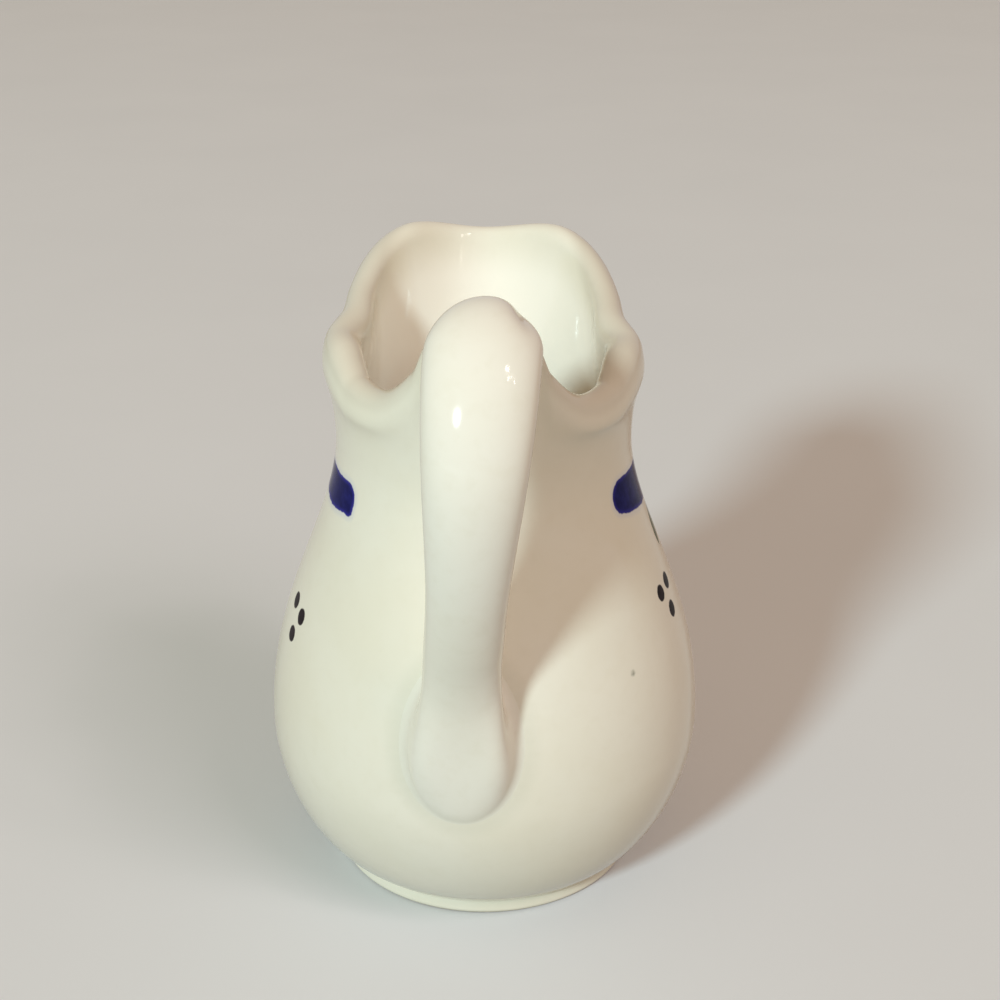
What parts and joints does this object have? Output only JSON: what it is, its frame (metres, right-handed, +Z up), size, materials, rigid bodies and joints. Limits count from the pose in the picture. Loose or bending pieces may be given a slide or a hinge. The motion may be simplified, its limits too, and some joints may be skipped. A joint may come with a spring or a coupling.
{
  "type": "creamer",
  "caption": "Small glazed ceramic cream jug with a round belly, a lobed rim with a wide pouring lip, a foot ring and a strap handle luted on at the back.",
  "frame": {"origin": "on the table under the foot, in the middle of the jug's length and width", "axes": "+Z up, +Y towards the pouring lip, so the handle is at -Y"},
  "size_m": [0.088, 0.1078, 0.1331],
  "materials": {
    "body_glaze": "gloss",
    "handle_glaze": "gloss"
  },
  "bodies": {
    "root": {"body": "body_glaze", "handle": "handle_glaze", "upper_joint": "handle_glaze", "lower_joint": "handle_glaze"}
  },
  "joints": []
}
